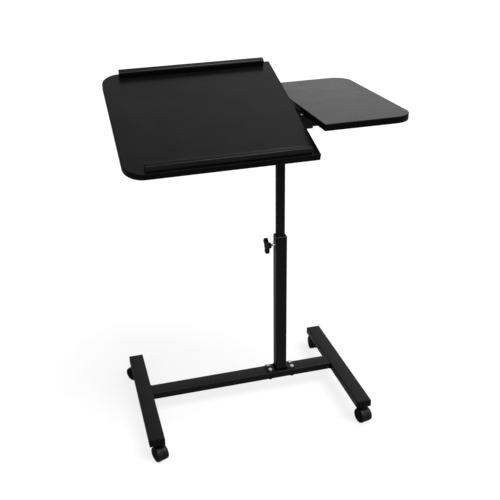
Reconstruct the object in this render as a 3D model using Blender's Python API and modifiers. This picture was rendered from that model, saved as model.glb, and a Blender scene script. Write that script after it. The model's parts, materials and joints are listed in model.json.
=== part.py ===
# Mobile laptop table: an H base on casters, a clamped telescopic column,
# a fixed side board and a main board that tilts on a cross tube.
# Metres, +Z up, +X to the viewer's right, -Y towards the user.
import math

import bmesh
import bpy
from mathutils import Euler, Vector

# Fits
FIT_GAP = 0.0003            # between touching pieces
RUNNING_GAP = 0.0005        # beside a turning wheel
HOLE_CLEARANCE = 0.0003     # around a shank in its hole, on the radius

# Boards
MAIN_WIDTH = 0.430
SIDE_WIDTH = 0.212
BOARD_DEPTH = 0.405
BOARD_THICKNESS = 0.015
BOARD_GAP = 0.008           # between the two boards
BOARD_OVERHANG = 0.026      # main board's inner edge past the column's axis
OUTER_CORNER_RADIUS = 0.045
INNER_CORNER_RADIUS = 0.002
BOARD_EDGE = 0.0008         # eased edge of the edging strip

# Ledges on the main board
LEDGE_WIDTH = 0.016
LEDGE_HEIGHT = 0.0165
LEDGE_SEAT = 0.0005         # groove that each ledge stands in
LEDGE_SETBACK = 0.005       # from the board's long edge
LEDGE_OUTER_INSET = 0.045   # from the board's outer end
LEDGE_INNER_INSET = 0.020   # from the board's inner end
LEDGE_EDGE = 0.002

# Base frame of rectangular tube
TUBE_WIDTH = 0.040
TUBE_HEIGHT = 0.020
TUBE_WALL = 0.0015
TUBE_CORNER = 0.003
LEG_LENGTH = 0.385          # over the end plugs
LEG_SPACING = 0.550
LEG_FORWARD = 0.016         # middle of the legs in front of the beam
COLUMN_FROM_LEFT_LEG = 0.386
PLUG_CAP = 0.0025
PLUG_DEPTH = 0.012

# Casters
WHEEL_DIAMETER = 0.040
WHEEL_WIDTH = 0.0138
WHEEL_CAP = 0.002           # closed face over the axle's end
WHEEL_SHOULDER = 0.0018
WHEEL_DISH = 0.001
WHEEL_RIM = 0.004
WHEEL_HUB_RADIUS = 0.006
WHEEL_CLEARANCE = 0.0006    # hood to the wheels' tread
AXLE_DIAMETER = 0.005
HOOD_BLADE = 0.003
HOOD_SHORT = 0.0015         # blade's radius less than the wheel's
HOOD_SKIRT = 0.009          # blade's lower edge below the axle
HOOD_BOSS_DIAMETER = 0.017
CASTER_NECK = 0.010         # leg above the wheels
CASTER_TRAIL = 0.015
CASTER_INSET = 0.024        # swivel axis from the leg's end
STEM_DIAMETER = 0.008
STEM_RISE = 0.014           # into the leg
STEM_COLLAR_DIAMETER = 0.016
STEM_COLLAR = 0.002
SWIVEL_DEGREES = {"front_left": 22, "front_right": 13, "rear_left": 217, "rear_right": 175}

# Telescopic column of square tube
INNER_SIDE = 0.020
INNER_WALL = 0.0015
INNER_LENGTH = 0.400
INNER_CORNER = 0.003
BUSH_WALL = 0.0029
BUSH_LENGTH = 0.050
BUSH_RECESS = 0.006         # bush's top below the outer tube's mouth
OUTER_WALL = 0.0015
OUTER_LENGTH = 0.409
OUTER_CORNER = 0.004
COLUMN_OVERLAP = 0.120      # inner tube inside the outer one, as photographed
GUIDE_HEIGHT = 0.010
GUIDE_SPIGOT = 0.012
FOOT_THICKNESS = 0.003
FOOT_MARGIN = 0.008         # plate beyond the bolts' centres

# Column bolts and nuts
BOLT_DIAMETER = 0.006
BOLT_ACROSS = 0.010
BOLT_HEAD = 0.004
BOLT_OFFSET = 0.0165        # bolt's centre from the outer tube's face
BOLT_SPACING = 0.021        # across the beam
BOLT_TIP = 0.002            # shank past the nut
NUT_THICKNESS = 0.005

# Height clamp
CLAMP_BELOW_MOUTH = 0.026
CLAMP_SCREW_DIAMETER = 0.006
CLAMP_NUT_ACROSS = 0.010
CLAMP_NUT_THICKNESS = 0.004
CLAMP_SCREW_SHOWING = 0.0055
CLAMP_PAD_DIAMETER = 0.0055
KNOB_RADIUS = 0.021
KNOB_ARM_WIDTH = 0.014
KNOB_ARMS = 3
KNOB_THICKNESS = 0.0105
KNOB_EDGE = 0.0012
KNOB_END_ROUND = 0.0025
KNOB_VALLEY_ROUND = 0.004
KNOB_TURN_DEGREES = 55      # one arm this far back from upright
HUB_DIAMETER = 0.015
HUB_LENGTH = 0.005
HUB_SOCKET = 0.008          # screw's grip in the knob

# Column head, side arm and tilt tube
SHEET = 0.0025
HEAD_HEIGHT = 0.0484
HEAD_LEFT = 0.030           # head's ends from the column's axis
HEAD_RIGHT = 0.075
HEAD_CLEARANCE = 0.0015     # tilt tube to the head's flanges
HEAD_CORNER = 0.003
CHEEK_RISE = 0.012          # head's low part above the tilt axis
ARM_SHEET = 0.002
ARM_START = 0.030
ARM_LENGTH = 0.170
ARM_STEP = 0.0045           # arm's lower edge above the head's
ARM_BOLT_DIAMETER = 0.005
ARM_BOLT_HEAD_DIAMETER = 0.008
ARM_BOLT_HEAD = 0.003
ARM_BOLT_FIRST = 0.015      # first bolt from the arm's start
ARM_BOLT_SPACING = 0.018
ARM_BOLT_DROP = 0.0095      # bolts below the arm's top
TILT_OFFSET = 0.030         # axis below the main board's underside
TILT_FORWARD = 0.006        # axis in front of the column's axis
TILT_DEGREES = 18.5
TILT_TUBE_DIAMETER = 0.022
TILT_TUBE_WALL = 0.0015
TILT_FLANGE_DIAMETER = 0.030
TILT_FLANGE = 0.003

# Saddles that carry the main board on the tilt tube
SADDLE_LENGTH = 0.036
SADDLE_WALL = 0.006
SADDLE_FLANGE = 0.006
SADDLE_EAR = 0.013          # flange beyond the block, each side
SADDLE_FILLET = 0.004
RIGHT_SADDLE_FROM_COLUMN = 0.070
SADDLE_SPACING = 0.200

# Wood screws under the boards
SCREW_DIAMETER = 0.004
SCREW_HEAD_DIAMETER = 0.008
SCREW_HEAD = 0.0025
SCREW_BITE = 0.010          # into the board
SIDE_SCREW_FIRST = 0.060    # from the arm's start
SIDE_SCREW_SPACING = 0.080

# Facets
SMALL_ROUND = 12
FINE_ROUND = 20
CORNER_STEPS = 4
BOARD_CORNER_STEPS = 9

# Sizes that follow
wheel_radius = WHEEL_DIAMETER / 2
leg_bottom = WHEEL_DIAMETER + CASTER_NECK
leg_top = leg_bottom + TUBE_HEIGHT
foot_bottom = leg_top + FIT_GAP
foot_top = foot_bottom + FOOT_THICKNESS
mouth = foot_top + OUTER_LENGTH
bush_side = INNER_SIDE + 2 * (FIT_GAP + BUSH_WALL)
outer_side = bush_side + 2 * (FIT_GAP + OUTER_WALL)
inner_bottom = mouth - COLUMN_OVERLAP
head_bottom = inner_bottom + INNER_LENGTH + FIT_GAP
arm_top = head_bottom + HEAD_HEIGHT
board_underside = arm_top + FIT_GAP
tilt_height = board_underside - TILT_OFFSET
clamp_height = mouth - CLAMP_BELOW_MOUTH
head_inner_half = TILT_FORWARD + TILT_TUBE_DIAMETER / 2 + HEAD_CLEARANCE
head_half = head_inner_half + SHEET
arm_half = head_inner_half - FIT_GAP
side_board_start = BOARD_OVERHANG + BOARD_GAP
left_saddle_x = -RIGHT_SADDLE_FROM_COLUMN - SADDLE_SPACING

right_end = side_board_start + SIDE_WIDTH
leg_places = {"left": -COLUMN_FROM_LEFT_LEG, "right": LEG_SPACING - COLUMN_FROM_LEFT_LEG}
leg_ends = {"front": -LEG_FORWARD - LEG_LENGTH / 2, "rear": -LEG_FORWARD + LEG_LENGTH / 2}
inward = {"front": 1, "rear": -1}

ALONG = {"X": (math.pi / 2, 0, math.pi / 2), "Y": (math.pi / 2, 0, 0), "Z": (0, 0, 0)}

for old in list(bpy.data.objects):
    bpy.data.objects.remove(old)

table = bpy.data.collections.new("mobile_laptop_table")
cutters = bpy.data.collections.new("cutters")
for group in (table, cutters):
    bpy.context.scene.collection.children.link(group)


def make_material(name, colour, roughness, metallic):
    material = bpy.data.materials.new(name)
    material.use_nodes = True
    shader = material.node_tree.nodes["Principled BSDF"]
    shader.inputs["Base Color"].default_value = (*colour, 1)
    shader.inputs["Roughness"].default_value = roughness
    shader.inputs["Metallic"].default_value = metallic
    return material


board_black = make_material("board_black", (0.022, 0.022, 0.023), 0.42, 0)
steel_black = make_material("steel_black", (0.020, 0.020, 0.021), 0.45, 0)
plastic_black = make_material("plastic_black", (0.018, 0.018, 0.018), 0.5, 0)
wheel_black = make_material("wheel_black", (0.025, 0.025, 0.026), 0.4, 0)
zinc = make_material("zinc", (0.75, 0.75, 0.74), 0.3, 1)


def make_empty(name, location, parent=None, turn=(0, 0, 0)):
    empty = bpy.data.objects.new(name, None)
    empty.location = location
    empty.rotation_euler = turn
    empty.parent = parent
    table.objects.link(empty)
    return empty


def place(piece, location, parent, turn=(0, 0, 0)):
    piece.location = location
    piece.rotation_euler = turn
    piece.parent = parent
    return piece


def circle(radius, steps):
    angles = [2 * math.pi * step / steps for step in range(steps)]
    return [(radius * math.cos(a), radius * math.sin(a)) for a in angles]


def hexagon(across):
    return circle(across / math.sqrt(3), 6)


def rounded(corners, steps=CORNER_STEPS):
    """Outline through (x, y, radius) corners, each replaced by an arc."""
    points = []
    for index, (x, y, radius) in enumerate(corners):
        corner = Vector((x, y))
        to_last = (Vector(corners[index - 1][:2]) - corner).normalized()
        to_next = (Vector(corners[(index + 1) % len(corners)][:2]) - corner).normalized()
        half_angle = to_last.angle(to_next) / 2
        reach = radius / math.tan(half_angle)
        centre = corner + (to_last + to_next).normalized() * radius / math.sin(half_angle)
        start = corner + to_last * reach - centre
        end = corner + to_next * reach - centre
        first = math.atan2(start.y, start.x)
        sweep = (math.atan2(end.y, end.x) - first + math.pi) % (2 * math.pi) - math.pi
        for step in range(steps + 1):
            angle = first + sweep * step / steps
            points.append((centre.x + radius * math.cos(angle), centre.y + radius * math.sin(angle)))
    return points


def rectangle(width, height, radius):
    x, y = width / 2, height / 2
    return rounded([(x, y, radius), (-x, y, radius), (-x, -y, radius), (x, -y, radius)])


def smooth(mesh):
    mesh.shade_smooth()
    mesh.set_sharp_from_angle(angle=math.radians(30))


def prism(name, loops, length, axis, material):
    """Flat outline, with any holes, extruded evenly about its own plane."""
    curve = bpy.data.curves.new(name, "CURVE")
    curve.dimensions = "2D"
    curve.fill_mode = "BOTH"
    curve.extrude = length / 2
    for loop in loops:
        spline = curve.splines.new("POLY")
        spline.points.add(len(loop) - 1)
        for point, (x, y) in zip(spline.points, loop):
            point.co = (x, y, 0, 1)
        spline.use_cyclic_u = True
    drawn = bpy.data.objects.new(name + "_outline", curve)
    bpy.context.scene.collection.objects.link(drawn)
    depsgraph = bpy.context.evaluated_depsgraph_get()
    mesh = bpy.data.meshes.new_from_object(drawn.evaluated_get(depsgraph))
    bpy.data.objects.remove(drawn)
    work = bmesh.new()
    work.from_mesh(mesh)
    bmesh.ops.remove_doubles(work, verts=work.verts, dist=1e-6)
    bmesh.ops.rotate(work, verts=work.verts, matrix=Euler(ALONG[axis]).to_matrix())
    bmesh.ops.recalc_face_normals(work, faces=work.faces)
    work.to_mesh(mesh)
    work.free()
    smooth(mesh)
    mesh.materials.clear()
    mesh.materials.append(material)
    piece = bpy.data.objects.new(name, mesh)
    table.objects.link(piece)
    return piece


def turned(name, profile, steps, material):
    """Profile of (radius, height) points, from the top down its outer side, turned about Z."""
    mesh = bpy.data.meshes.new(name)
    points = [(radius, 0, height) for radius, height in profile]
    edges = [(index, index + 1) for index in range(len(points) - 1)]
    mesh.from_pydata(points, edges, [])
    mesh.materials.append(material)
    piece = bpy.data.objects.new(name, mesh)
    table.objects.link(piece)
    screw = piece.modifiers.new("turn", "SCREW")
    screw.axis = "Z"
    screw.steps = steps
    screw.render_steps = steps
    screw.use_merge_vertices = True
    screw.merge_threshold = 0.00001
    screw.use_smooth_shade = True
    return piece


def rod(name, diameter, bottom, top, steps, material, group=table):
    mesh = bpy.data.meshes.new(name)
    work = bmesh.new()
    bmesh.ops.create_cone(
        work, cap_ends=True, segments=steps, radius1=diameter / 2, radius2=diameter / 2, depth=top - bottom)
    bmesh.ops.translate(work, verts=work.verts, vec=(0, 0, (top + bottom) / 2))
    work.to_mesh(mesh)
    work.free()
    smooth(mesh)
    mesh.materials.append(material)
    piece = bpy.data.objects.new(name, mesh)
    group.objects.link(piece)
    return piece


def block(name, low, high):
    mesh = bpy.data.meshes.new(name)
    work = bmesh.new()
    bmesh.ops.create_cube(work, size=1)
    size = [b - a for a, b in zip(low, high)]
    middle = [(a + b) / 2 for a, b in zip(low, high)]
    bmesh.ops.scale(work, verts=work.verts, vec=size)
    bmesh.ops.translate(work, verts=work.verts, vec=middle)
    work.to_mesh(mesh)
    work.free()
    piece = bpy.data.objects.new(name, mesh)
    cutters.objects.link(piece)
    return piece


def combine(piece, tool, operation):
    tool.hide_render = True
    tool.display_type = "WIRE"
    for group in list(tool.users_collection):
        group.objects.unlink(tool)
    cutters.objects.link(tool)
    boolean = piece.modifiers.new(tool.name, "BOOLEAN")
    boolean.operation = operation
    boolean.object = tool
    boolean.solver = "EXACT"


def drill(piece, diameter, start, length, axis, parent):
    """Round hole of the given diameter, from start along +axis."""
    name = f"{piece.name}_hole_{len(piece.modifiers)}"
    turns = {"X": (0, math.pi / 2, 0), "Y": (-math.pi / 2, 0, 0), "Z": (0, 0, 0)}
    tool = rod(name, diameter, 0, length, SMALL_ROUND, zinc, cutters)
    place(tool, start, parent, turns[axis])
    combine(piece, tool, "DIFFERENCE")


def bevel(piece, width, segments=2):
    edge = piece.modifiers.new("edges", "BEVEL")
    edge.width = width
    edge.segments = segments
    edge.limit_method = "ANGLE"
    edge.angle_limit = math.radians(40)


def tube_outlines(width, height, wall, corner):
    inside = max(corner - wall, wall / 2)
    return [rectangle(width, height, corner), rectangle(width - 2 * wall, height - 2 * wall, inside)]


def outline_limits():
    """Least and greatest x and y of the legs, the side board and the casters, about the column."""
    reach_x = [right_end, -COLUMN_FROM_LEFT_LEG - TUBE_WIDTH / 2]
    reach_y = [leg_ends["front"], leg_ends["rear"], BOARD_DEPTH / 2, -BOARD_DEPTH / 2]
    face = HOOD_BLADE / 2 + RUNNING_GAP + WHEEL_WIDTH
    edges = ((face, wheel_radius - WHEEL_SHOULDER), (face - WHEEL_SHOULDER, wheel_radius))
    for end, end_y in leg_ends.items():
        for side, x in leg_places.items():
            angle = math.radians(SWIVEL_DEGREES[f"{end}_{side}"])
            for across, along in edges:
                for a, b in ((across, along), (across, -along), (-across, along), (-across, -along)):
                    point = rotated(Vector((a, b - CASTER_TRAIL)), angle)
                    reach_x.append(x + point[0])
                    reach_y.append(end_y + inward[end] * CASTER_INSET + point[1])
    return min(reach_x), max(reach_x), min(reach_y), max(reach_y)


def rotated(point, angle):
    return (point.x * math.cos(angle) - point.y * math.sin(angle),
            point.x * math.sin(angle) + point.y * math.cos(angle))


# The origin is on the floor, at the middle of the table's outline
low_x, high_x, low_y, high_y = outline_limits()
column_base = make_empty("column_base", (-(low_x + high_x) / 2, -(low_y + high_y) / 2, 0))
height_slide = make_empty("height_slide", (0, 0, mouth), column_base)
tilt_axis = make_empty(
    "tilt_axis", (0, -TILT_FORWARD, tilt_height - mouth), height_slide, (math.radians(TILT_DEGREES), 0, 0))
clamp_axis = make_empty("clamp_axis", (-outer_side / 2, 0, clamp_height), column_base)


# Base frame
def make_base():
    outlines = tube_outlines(TUBE_WIDTH, TUBE_HEIGHT, TUBE_WALL, TUBE_CORNER)
    middle = leg_bottom + TUBE_HEIGHT / 2
    beam_length = LEG_SPACING - TUBE_WIDTH - 2 * FIT_GAP
    beam = prism("cross_beam", outlines, beam_length, "X", steel_black)
    place(beam, (LEG_SPACING / 2 - COLUMN_FROM_LEFT_LEG, 0, middle), column_base)
    for x, y in bolt_places():
        hole = BOLT_DIAMETER + 2 * HOLE_CLEARANCE
        drill(beam, hole, (x, y, leg_bottom - TUBE_WALL), TUBE_HEIGHT + 2 * TUBE_WALL, "Z", column_base)
    for side, x in leg_places.items():
        make_leg(side, x, middle, outlines)


def bolt_places():
    x = outer_side / 2 + BOLT_OFFSET
    y = BOLT_SPACING / 2
    return [(-x, -y), (-x, y), (x, -y), (x, y)]


def make_leg(side, x, middle, outlines):
    tube_length = LEG_LENGTH - 2 * (PLUG_CAP + FIT_GAP)
    leg = prism(f"{side}_leg", outlines, tube_length, "Y", steel_black)
    place(leg, (x, -LEG_FORWARD, middle), column_base)
    for end, end_y in leg_ends.items():
        way = inward[end]
        stem_y = end_y + way * CASTER_INSET
        hole = STEM_DIAMETER + 2 * HOLE_CLEARANCE
        drill(leg, hole, (x, stem_y, leg_bottom - TUBE_WALL), 3 * TUBE_WALL, "Z", column_base)
        cap_y = end_y + way * PLUG_CAP / 2
        plug = prism(f"{side}_leg_{end}_plug", [outlines[0]], PLUG_CAP, "Y", plastic_black)
        place(plug, (x, cap_y, middle), column_base)
        bore = 2 * (TUBE_WALL + FIT_GAP)
        spigot_outline = rectangle(TUBE_WIDTH - bore, TUBE_HEIGHT - bore, TUBE_WALL)
        spigot = prism(f"{plug.name}_spigot", [spigot_outline], PLUG_DEPTH + PLUG_CAP / 2, "Y", plastic_black)
        place(spigot, (x, cap_y + way * (PLUG_DEPTH / 2 + PLUG_CAP / 4), middle), column_base)
        combine(plug, spigot, "UNION")
        make_caster(f"{end}_{side}", x, stem_y)


# Twin-wheel casters
def make_caster(place_name, x, y):
    stem_profile = [
        (0, leg_bottom + STEM_RISE), (STEM_DIAMETER / 2, leg_bottom + STEM_RISE),
        (STEM_DIAMETER / 2, leg_bottom - FIT_GAP), (STEM_COLLAR_DIAMETER / 2, leg_bottom - FIT_GAP),
        (STEM_COLLAR_DIAMETER / 2, leg_bottom - FIT_GAP - STEM_COLLAR),
        (STEM_DIAMETER / 2, leg_bottom - FIT_GAP - STEM_COLLAR),
        (STEM_DIAMETER / 2, WHEEL_DIAMETER + FIT_GAP), (0, WHEEL_DIAMETER + FIT_GAP)]
    stem = turned(f"{place_name}_caster_stem", stem_profile, SMALL_ROUND, zinc)
    place(stem, (x, y, 0), column_base)
    turn = (0, 0, math.radians(SWIVEL_DEGREES[place_name]))
    swivel = make_empty(f"{place_name}_swivel", (x, y, 0), column_base, turn)
    make_hood(place_name, swivel)
    reach = HOOD_BLADE / 2 + RUNNING_GAP + WHEEL_WIDTH - WHEEL_CAP - FIT_GAP
    axle = rod(f"{place_name}_caster_axle", AXLE_DIAMETER, -reach, reach, SMALL_ROUND, zinc)
    place(axle, (0, -CASTER_TRAIL, wheel_radius), swivel, (0, math.pi / 2, 0))
    for side, way in (("left", -1), ("right", 1)):
        make_wheel(f"{place_name}_wheel_{side}", way, swivel)


def make_hood(place_name, swivel):
    blade = rod(
        f"{place_name}_caster_hood", WHEEL_DIAMETER - 2 * HOOD_SHORT, -HOOD_BLADE / 2, HOOD_BLADE / 2,
        FINE_ROUND, plastic_black)
    place(blade, (0, -CASTER_TRAIL, wheel_radius), swivel, (0, math.pi / 2, 0))
    top = leg_bottom - 2 * FIT_GAP - STEM_COLLAR
    boss = rod(f"{blade.name}_boss", HOOD_BOSS_DIAMETER, wheel_radius, top, FINE_ROUND, plastic_black)
    place(boss, (0, 0, 0), swivel)
    combine(blade, boss, "UNION")
    wide = HOOD_BOSS_DIAMETER
    for way in (-1, 1):
        clear = rod(
            f"{blade.name}_wheel_room_{way}", WHEEL_DIAMETER + 2 * WHEEL_CLEARANCE, 0, wide, FINE_ROUND, plastic_black)
        start = way * HOOD_BLADE / 2 if way > 0 else way * (HOOD_BLADE / 2 + wide)
        place(clear, (start, -CASTER_TRAIL, wheel_radius), swivel, (0, math.pi / 2, 0))
        combine(blade, clear, "DIFFERENCE")
    skirt = block(
        f"{blade.name}_skirt", (-wide, -CASTER_TRAIL - WHEEL_DIAMETER, -wheel_radius),
        (wide, WHEEL_DIAMETER, wheel_radius - HOOD_SKIRT))
    place(skirt, (0, 0, 0), swivel)
    combine(blade, skirt, "DIFFERENCE")
    stem_hole = STEM_DIAMETER + 2 * HOLE_CLEARANCE
    drill(blade, stem_hole, (0, 0, WHEEL_DIAMETER - FIT_GAP), 2 * CASTER_NECK, "Z", swivel)
    axle_hole = AXLE_DIAMETER + 2 * HOLE_CLEARANCE
    drill(blade, axle_hole, (-HOOD_BLADE, -CASTER_TRAIL, wheel_radius), 2 * HOOD_BLADE, "X", swivel)


def make_wheel(name, way, swivel):
    rim = wheel_radius - WHEEL_RIM
    face = WHEEL_WIDTH
    bore = AXLE_DIAMETER / 2 + HOLE_CLEARANCE
    profile = [
        (0, face), (WHEEL_HUB_RADIUS, face), (WHEEL_HUB_RADIUS + WHEEL_DISH, face - WHEEL_DISH),
        (rim - WHEEL_DISH, face - WHEEL_DISH), (rim, face), (wheel_radius - WHEEL_SHOULDER, face),
        (wheel_radius, face - WHEEL_SHOULDER), (wheel_radius, 0), (bore, 0),
        (bore, face - WHEEL_CAP), (0, face - WHEEL_CAP)]
    wheel = turned(name, profile, FINE_ROUND, wheel_black)
    inner_face = way * (HOOD_BLADE / 2 + RUNNING_GAP)
    place(wheel, (inner_face, -CASTER_TRAIL, wheel_radius), swivel, (0, way * math.pi / 2, 0))


# Telescopic column
def make_column():
    outer = prism(
        "outer_column", tube_outlines(outer_side, outer_side, OUTER_WALL, OUTER_CORNER),
        OUTER_LENGTH + FOOT_THICKNESS / 2, "Z", steel_black)
    place(outer, (0, 0, mouth - (OUTER_LENGTH + FOOT_THICKNESS / 2) / 2), column_base)
    plate_length = outer_side + 2 * (BOLT_OFFSET + FOOT_MARGIN)
    plate_outline = rectangle(plate_length, BOLT_SPACING + 2 * FOOT_MARGIN, TUBE_CORNER)
    plate = prism("outer_column_foot", [plate_outline], FOOT_THICKNESS, "Z", steel_black)
    place(plate, (0, 0, (foot_bottom + foot_top) / 2), column_base)
    combine(outer, plate, "UNION")
    for x, y in bolt_places():
        hole = BOLT_DIAMETER + 2 * HOLE_CLEARANCE
        drill(outer, hole, (x, y, foot_bottom - FOOT_THICKNESS), 3 * FOOT_THICKNESS, "Z", column_base)
    screw_hole = CLAMP_SCREW_DIAMETER + 2 * HOLE_CLEARANCE
    drill(outer, screw_hole, (-OUTER_WALL, 0, 0), 3 * OUTER_WALL, "X", clamp_axis)

    bush_loops = [
        rectangle(bush_side, bush_side, OUTER_CORNER - OUTER_WALL),
        rectangle(INNER_SIDE + 2 * FIT_GAP, INNER_SIDE + 2 * FIT_GAP, INNER_CORNER)]
    bush = prism("guide_bush", bush_loops, BUSH_LENGTH, "Z", plastic_black)
    place(bush, (0, 0, mouth - BUSH_RECESS - BUSH_LENGTH / 2), column_base)
    pad_hole = CLAMP_SCREW_DIAMETER + 4 * HOLE_CLEARANCE
    drill(bush, pad_hole, (0, 0, 0), outer_side / 2, "X", clamp_axis)

    inner = prism(
        "inner_column", tube_outlines(INNER_SIDE, INNER_SIDE, INNER_WALL, INNER_CORNER),
        INNER_LENGTH, "Z", steel_black)
    place(inner, (0, 0, inner_bottom + INNER_LENGTH / 2 - mouth), height_slide)
    guide = prism(
        "inner_column_plug", [rectangle(bush_side, bush_side, OUTER_CORNER - OUTER_WALL)],
        GUIDE_HEIGHT, "Z", plastic_black)
    guide_top = inner_bottom - FIT_GAP - mouth
    place(guide, (0, 0, guide_top - GUIDE_HEIGHT / 2), height_slide)
    bore = INNER_SIDE - 2 * (INNER_WALL + FIT_GAP)
    spigot_length = GUIDE_SPIGOT + GUIDE_HEIGHT / 2
    spigot = prism("inner_column_plug_spigot", [rectangle(bore, bore, INNER_WALL)], spigot_length, "Z", plastic_black)
    place(spigot, (0, 0, guide_top + GUIDE_SPIGOT - spigot_length / 2), height_slide)
    combine(guide, spigot, "UNION")


def make_column_fixings():
    nut_top = leg_bottom - FIT_GAP
    for index, (x, y) in enumerate(bolt_places(), 1):
        bolt = prism(f"column_bolt_{index}", [hexagon(BOLT_ACROSS)], BOLT_HEAD, "Z", zinc)
        place(bolt, (x, y, foot_top + FIT_GAP + BOLT_HEAD / 2), column_base)
        shank = rod(
            f"column_bolt_{index}_shank", BOLT_DIAMETER, nut_top - NUT_THICKNESS - BOLT_TIP,
            foot_top + FIT_GAP + BOLT_HEAD / 2, SMALL_ROUND, zinc)
        place(shank, (x, y, 0), column_base)
        combine(bolt, shank, "UNION")
        bore = circle(BOLT_DIAMETER / 2 + HOLE_CLEARANCE, SMALL_ROUND)
        nut = prism(f"column_nut_{index}", [hexagon(BOLT_ACROSS), bore], NUT_THICKNESS, "Z", zinc)
        place(nut, (x, y, nut_top - NUT_THICKNESS / 2), column_base)


# Height clamp, along -X from the outer tube's face
def make_clamp():
    bore = circle(CLAMP_SCREW_DIAMETER / 2 + HOLE_CLEARANCE, SMALL_ROUND)
    nut = prism("clamp_nut", [hexagon(CLAMP_NUT_ACROSS), bore], CLAMP_NUT_THICKNESS, "X", zinc)
    place(nut, (-FIT_GAP - CLAMP_NUT_THICKNESS / 2, 0, 0), clamp_axis)

    pad_inner = (outer_side - INNER_SIDE) / 2 - FIT_GAP
    pad_outer = OUTER_WALL + FIT_GAP
    pad = rod("clamp_pad", CLAMP_PAD_DIAMETER, pad_outer, pad_inner, SMALL_ROUND, plastic_black)
    place(pad, (0, 0, 0), clamp_axis, (0, math.pi / 2, 0))

    hub_face = -FIT_GAP - CLAMP_NUT_THICKNESS - CLAMP_SCREW_SHOWING
    screw = rod(
        "clamp_screw", CLAMP_SCREW_DIAMETER, hub_face - HUB_SOCKET, pad_outer - FIT_GAP, SMALL_ROUND, zinc)
    place(screw, (0, 0, 0), clamp_axis, (0, math.pi / 2, 0))

    knob_middle = hub_face - HUB_LENGTH - KNOB_THICKNESS / 2
    knob = prism("clamp_knob", [knob_outline()], KNOB_THICKNESS, "X", plastic_black)
    bevel(knob, KNOB_EDGE)
    place(knob, (knob_middle, 0, 0), clamp_axis, (-math.radians(KNOB_TURN_DEGREES), 0, 0))
    hub = rod("clamp_knob_hub", HUB_DIAMETER, knob_middle, hub_face, FINE_ROUND, plastic_black)
    place(hub, (0, 0, 0), clamp_axis, (0, math.pi / 2, 0))
    combine(knob, hub, "UNION")
    socket = CLAMP_SCREW_DIAMETER + 2 * HOLE_CLEARANCE
    drill(knob, socket, (hub_face - HUB_SOCKET - FIT_GAP, 0, 0), 2 * HUB_SOCKET, "X", clamp_axis)


def knob_outline():
    half = KNOB_ARM_WIDTH / 2
    step = 2 * math.pi / KNOB_ARMS
    valley = half / math.sin(step / 2)
    corners = []
    for arm in range(KNOB_ARMS):
        out = Vector((0, 1))
        across = Vector((-1, 0))
        turn = arm * step
        for along, side, radius in ((KNOB_RADIUS, -half, KNOB_END_ROUND), (KNOB_RADIUS, half, KNOB_END_ROUND)):
            point = out * along + across * side
            corners.append((*rotated(point, turn), radius))
        corners.append((*rotated(out * valley, turn + step / 2), KNOB_VALLEY_ROUND))
    return rounded(corners)


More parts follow.
